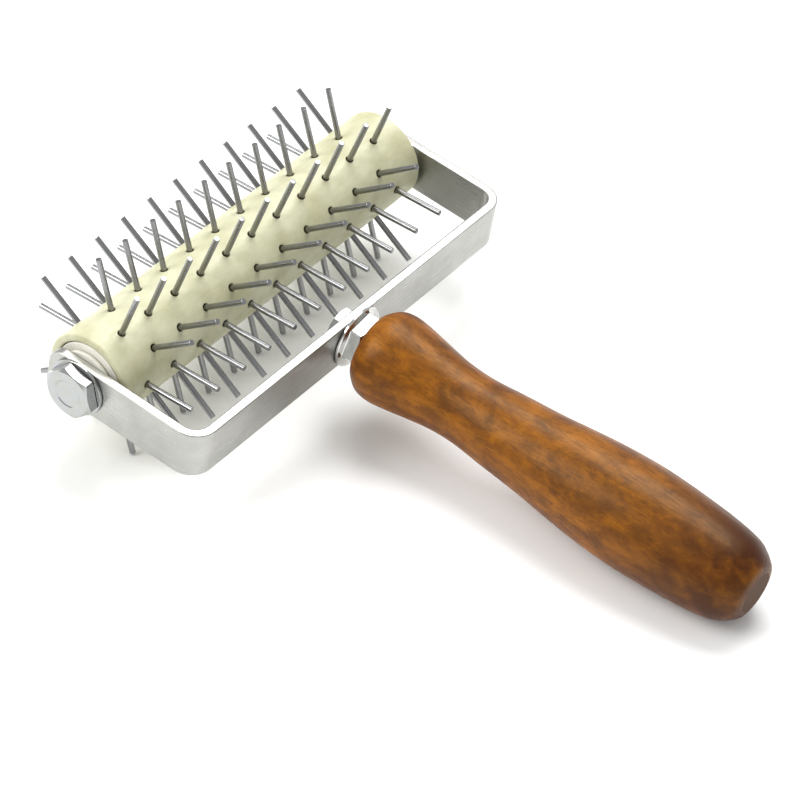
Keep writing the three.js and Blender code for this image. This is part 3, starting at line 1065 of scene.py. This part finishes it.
def flange_nut(name, across_flats, height, bore, rim, thick, turn, matrix, materials):
    """A nut along local X, standing on x = 0 on a round flange."""
    face = across_flats / 2 - FACE_INSET

    def profile_at(angle):
        side = hex_radius(across_flats, angle, turn)
        return [
            (0.35 * MM, bore),
            (0, bore + 0.35 * MM),
            (0, rim - 0.15 * MM),
            (0.15 * MM, rim),
            (thick * 0.55, rim),
            (thick * 0.8, rim - 0.25 * MM),
            (thick * 1.15, side + 0.12 * MM),
            (thick * 1.35, side),
            (hex_edge(side, height, face), side),
            (height, face),
            (height, bore + 0.5 * MM),
            (height - 0.5 * MM, bore),
        ]

    shape = bmesh.new()
    revolve(shape, profile_at, HEX_SIDES, closed=True)
    bmesh.ops.transform(shape, matrix=matrix, verts=shape.verts)
    return finish_mesh(name, shape, TOOL, materials, 14)


class UNCAPPING_OT_axle(bpy.types.Operator):
    """Builds the axle: a hexagon bolt with a washer under its head"""

    bl_idname = "uncapping.axle"
    bl_label = "Axle Bolt"

    def execute(self, context):
        s = context.scene.roller_fasteners
        zinc = shared(zinc_plated)
        head_face, tip = span("axle_bolt", X_AXIS)
        seat = span("axle_washer", X_AXIS)[0] - SEAT_GAP
        # The bolt's local +X points out of its head, to the left of the tool.
        matrix = Matrix.Translation((seat, 0, 0)) @ Matrix.Rotation(math.pi, 4, "Z")
        bolt = headed_bolt(
            "axle_hex_bolt", s.axle_flats, seat - head_face, s.head_turn,
            s.axle_radius, tip - seat, s.thread_pitch, AXLE_THREAD, matrix, [zinc],
        )
        settle(bolt, "frame", "zinc_plated_steel", "axle_bolt")
        washer = plain_ring("plain_washer", "axle_washer", 0.2 * MM, zinc)
        settle(washer, "frame", "zinc_plated_steel", "axle_washer")
        return {"FINISHED"}


class UNCAPPING_OT_handle_fasteners(bpy.types.Operator):
    """Builds the handle's bolt and the flanged nut between the back bar and the handle"""

    bl_idname = "uncapping.handle_fasteners"
    bl_label = "Handle Bolt and Nut"

    def execute(self, context):
        s = context.scene.roller_fasteners
        bar = context.scene.roller_bar_frame
        head_face, tip = span("handle_bolt", BUTTWARD)
        seat = bar.back_reach - bar.thickness - SEAT_GAP
        matrix = Matrix.Translation((0, -seat, 0)) @ Matrix.Rotation(math.pi / 2, 4, "Z")
        bolt = headed_bolt(
            "handle_hex_bolt", s.handle_bolt_flats, seat - head_face, 0,
            s.shank_radius, tip - seat, s.thread_pitch, HANDLE_THREAD, matrix, [shared(zinc_plated)],
        )
        settle(bolt, "frame", "zinc_plated_steel", "handle_bolt")
        low, high = span("flanged_nut", BUTTWARD)
        rim = outer_radius("flanged_nut", BUTTWARD)
        matrix = Matrix.Translation((0, -low, 0)) @ Matrix.Rotation(-math.pi / 2, 4, "Z")
        nut = flange_nut(
            "flanged_hex_nut", s.nut_flats, high - low, s.shank_radius, rim, 1 * MM, s.nut_turn, matrix,
            [shared(bright_plated)],
        )
        settle(nut, "frame", "zinc_plated_steel", "flanged_nut")
        return {"FINISHED"}


# ---------- handle ----------


def handle_outline():
    """The handle's outline through the CAD handle's rings, as (distance from the axle, radius), with
    its bore's radius and depth."""
    rings = rings_of("handle", BUTTWARD)
    bore = min(radius for _, radius in rings if radius > 1 * MM)
    skin = [ring for ring in rings if ring[1] > bore * 1.2]
    front, butt = skin[0], skin[-1]
    body = through_points(skin[1:-1], 4)
    shoulder = body[-1]
    # The butt rolls over into its small flat instead of being cut straight to it.
    bulge = ((shoulder[0] + butt[0]) / 2 + 0.28 * MM, (shoulder[1] + butt[1]) / 2 + 0.34 * MM)
    crown = through_points([body[-5], shoulder, bulge, butt], 5)[5:]
    depth = max(along for along, radius in rings if radius < bore * 1.2 and along < butt[0])
    return front, body[:-1] + crown, bore, depth


class UNCAPPING_OT_handle(bpy.types.Operator):
    """Builds the handle: turned wood with a waist, a swelling grip and a flat on its butt"""

    bl_idname = "uncapping.handle"
    bl_label = "Wooden Handle"

    def execute(self, context):
        front, body, bore, depth = handle_outline()
        butt = body[-1]
        profile = [(depth, 0), (depth, bore), (front[0], bore), (front[0], front[1])]
        outline = profile + body + [(butt[0], butt[1] * 0.5), (butt[0], 0)]
        shape = bmesh.new()
        revolve(shape, lambda _: outline, 112)
        turn = Matrix.Rotation(-math.pi / 2, 4, "Z")
        bmesh.ops.transform(shape, matrix=turn, verts=shape.verts)
        for face in shape.faces:
            face.material_index = int(-face.calc_center_median().y > butt[0] - 0.02 * MM)
        materials = [shared(varnished_hardwood), shared(worn_end_grain)]
        piece = finish_mesh("turned_handle", shape, TOOL, materials, 40)
        settle(piece, "frame", "varnished_wood", "handle")
        return {"FINISHED"}


# ---------- stage ----------

SOFTBOX_SIZE = 0.8
SOFTBOX_DISTANCE = 1.3


def look_matrix(azimuth, elevation, roll, distance, aim):
    """A camera or light that looks at a point from an azimuth and elevation."""
    level = Vector((math.cos(azimuth), math.sin(azimuth), 0))
    outward = Vector((math.sin(azimuth), -math.cos(azimuth), 0))
    back = outward * math.cos(elevation) + Vector((0, 0, math.sin(elevation)))
    right = Matrix.Rotation(roll, 3, back) @ level
    up = back.cross(right)
    matrix = Matrix((right, up, back)).transposed().to_4x4()
    matrix.translation = Vector(aim) + back * distance
    return matrix


def softbox(name, power, azimuth, elevation):
    """A square soft light that faces the middle of the tool."""
    light = bpy.data.lights.new(name, "AREA")
    light.energy = power
    light.shape = "SQUARE"
    light.size = SOFTBOX_SIZE
    lamp = bpy.data.objects.new(name, light)
    bpy.context.scene.collection.objects.link(lamp)
    angles = math.radians(azimuth), math.radians(elevation)
    lamp.matrix_world = look_matrix(*angles, 0, SOFTBOX_DISTANCE, (0, 0, 0))


class UNCAPPING_OT_stage(bpy.types.Operator):
    """Builds the stage: pale floor, soft studio light and the camera"""

    bl_idname = "uncapping.stage"
    bl_label = "Stage"

    def execute(self, context):
        scene = context.scene
        s = scene.roller_stage
        shape = bmesh.new()
        bmesh.ops.create_grid(shape, x_segments=8, y_segments=8, size=4)
        floor = finish_mesh("paper_floor", shape, Matrix.Identity(4), [shared(matt_floor)])
        softbox("key_softbox", s.key_power, 112, 64)
        softbox("side_softbox", s.side_power, -135, 40)
        world = bpy.data.worlds.new("even studio")
        world.use_nodes = True
        background = world.node_tree.nodes["Background"]
        background.inputs["Color"].default_value = opaque((1, 1, 1))
        background.inputs["Strength"].default_value = s.sky
        scene.world = world
        camera_data = bpy.data.cameras.new("camera")
        camera_data.lens = s.lens
        camera_data.sensor_width = 36
        camera_data.clip_end = 20
        camera = bpy.data.objects.new("camera", camera_data)
        scene.collection.objects.link(camera)
        camera.matrix_world = look_matrix(s.azimuth, s.elevation, s.roll, s.distance, AXLE + Vector(s.aim))
        scene.camera = camera
        scene.view_settings.view_transform = "Standard"
        return {"FINISHED"}


# ---------- panel and registration ----------

SETTINGS = (
    ("roller_bar_frame", BarFrameSettings, "Frame"),
    ("roller_drum", RollerSettings, "Drum and pins"),
    ("roller_fasteners", FastenerSettings, "Fasteners"),
    ("roller_handle", HandleSettings, "Handle"),
    ("roller_stage", StageSettings, "Stage"),
)

OPERATORS = (
    UNCAPPING_OT_bar_frame,
    UNCAPPING_OT_drum,
    UNCAPPING_OT_pins,
    UNCAPPING_OT_bearings,
    UNCAPPING_OT_axle,
    UNCAPPING_OT_handle_fasteners,
    UNCAPPING_OT_handle,
    UNCAPPING_OT_stage,
)


class UNCAPPING_PT_panel(bpy.types.Panel):
    """Lists the pieces of the uncapping roller and their sizes and colours"""

    bl_idname = "UNCAPPING_PT_panel"
    bl_label = "Uncapping Roller"
    bl_space_type = "VIEW_3D"
    bl_region_type = "UI"
    bl_category = "Roller"

    def draw(self, context):
        for operator in OPERATORS:
            self.layout.operator(operator.bl_idname)
        for attribute, group, title in SETTINGS:
            box = self.layout.box()
            box.label(text=title)
            for key in group.__annotations__:
                box.prop(getattr(context.scene, attribute), key)


def register():
    for _, group, _ in SETTINGS:
        bpy.utils.register_class(group)
    for operator in OPERATORS:
        bpy.utils.register_class(operator)
    bpy.utils.register_class(UNCAPPING_PT_panel)
    for attribute, group, _ in SETTINGS:
        setattr(bpy.types.Scene, attribute, PointerProperty(type=group))


def unregister():
    for attribute, _, _ in SETTINGS:
        delattr(bpy.types.Scene, attribute)
    bpy.utils.unregister_class(UNCAPPING_PT_panel)
    for operator in reversed(OPERATORS):
        bpy.utils.unregister_class(operator)
    for _, group, _ in reversed(SETTINGS):
        bpy.utils.unregister_class(group)


def main():
    register()
    bpy.ops.uncapping.bar_frame()
    bpy.ops.uncapping.drum()
    bpy.ops.uncapping.pins()
    bpy.ops.uncapping.bearings()
    bpy.ops.uncapping.axle()
    bpy.ops.uncapping.handle_fasteners()
    bpy.ops.uncapping.handle()
    bpy.ops.uncapping.stage()


if __name__ == "__main__":
    main()
